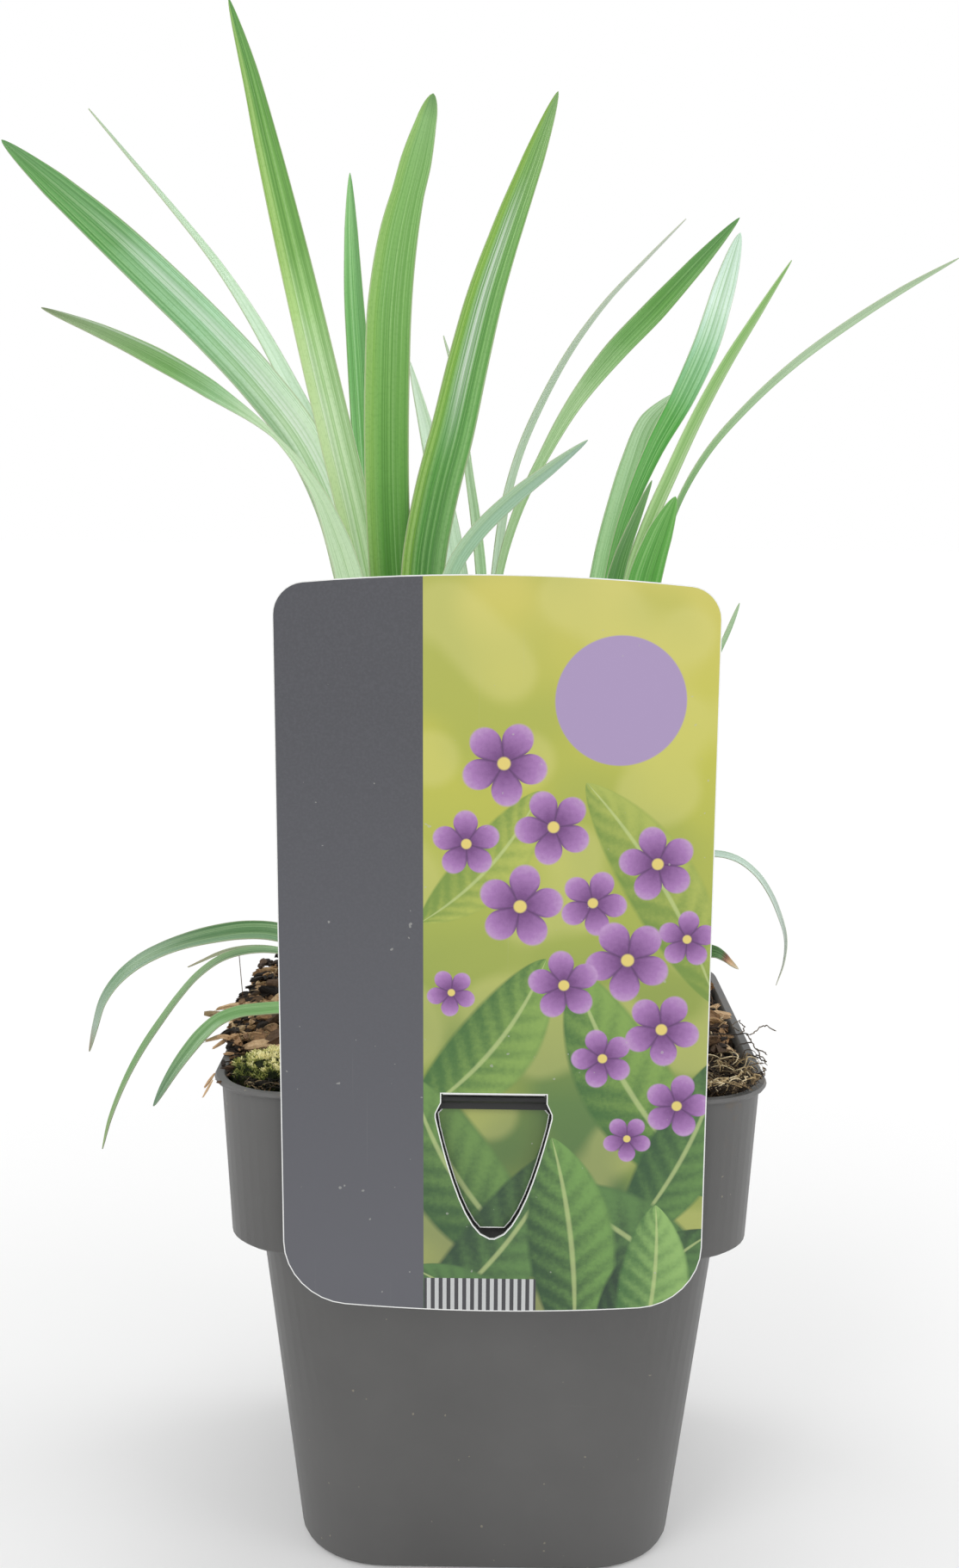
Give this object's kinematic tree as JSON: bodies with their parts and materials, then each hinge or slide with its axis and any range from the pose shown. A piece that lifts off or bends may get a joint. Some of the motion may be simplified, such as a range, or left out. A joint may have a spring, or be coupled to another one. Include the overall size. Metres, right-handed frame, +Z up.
{
  "type": "potted liriope plant",
  "caption": "Evergreen grass-like liriope plant with arching strap leaves in a square black nursery pot with a tall hang label on its front rim.",
  "frame": {"origin": "Centre of the flat base of the pot, on the surface that it stands on.", "axes": "+Z is up, away from the base. The label hangs on the -Y side, which is the front. +X is to the right when the front is seen."},
  "size_m": [0.243, 0.1371, 0.381],
  "materials": {
    "pot_plastic": "matte black moulded plastic",
    "label_sheet": "thin printed plastic sheet, satin",
    "soil_mix": "damp bark and peat, rough",
    "crown_sheath": "dry fibrous sheath",
    "moss_green": "soft moss",
    "bark_brown": "rough bark",
    "straw_tan": "dry straw",
    "leaf_fresh": "fresh green leaf, satin",
    "leaf_deep": "deep green leaf, slightly glossy",
    "leaf_pale": "pale green leaf",
    "leaf_grey": "grey-green leaf"
  },
  "bodies": {
    "root": {"bark_chip_back": "bark_brown", "bark_chip_back_left": "bark_brown", "bark_chip_back_right": "bark_brown", "bark_chip_front_left": "bark_brown", "bark_chip_left": "bark_brown", "bark_chip_right": "bark_brown", "bark_sliver_left": "straw_tan", "crown_left": "crown_sheath", "crown_middle": "crown_sheath", "crown_right": "crown_sheath", "hang_label": "label_sheet", "leaf_arch_right": "leaf_deep", "leaf_back_blade": "leaf_pale", "leaf_behind_label": "leaf_grey", "leaf_broad_centre": "leaf_fresh", "leaf_broad_left": "leaf_deep", "leaf_brown_tip": "leaf_grey", "leaf_dark_edge": "leaf_deep", "leaf_droop_front": "leaf_grey", "leaf_droop_middle": "leaf_grey", "leaf_droop_upper": "leaf_grey", "leaf_dry_thread": "straw_tan", "leaf_folded_right": "leaf_grey", "leaf_gloss_centre": "leaf_deep", "leaf_hook_right": "leaf_pale", "leaf_long_arch": "leaf_grey", "leaf_low_left": "leaf_fresh", "leaf_pale_side": "leaf_pale", "leaf_short_front": "leaf_fresh", "leaf_silver_right": "leaf_grey", "leaf_slim_centre": "leaf_deep", "leaf_slim_right": "leaf_fresh", "leaf_spike_back": "leaf_pale", "leaf_tallest": "leaf_fresh", "leaf_thin_arch": "leaf_pale", "leaf_thin_back_left": "leaf_pale", "moss_cushion": "moss_green", "pot": "pot_plastic", "potting_mix": "soil_mix", "straw_mat": "straw_tan", "straw_sliver_right": "straw_tan"}
  },
  "joints": []
}
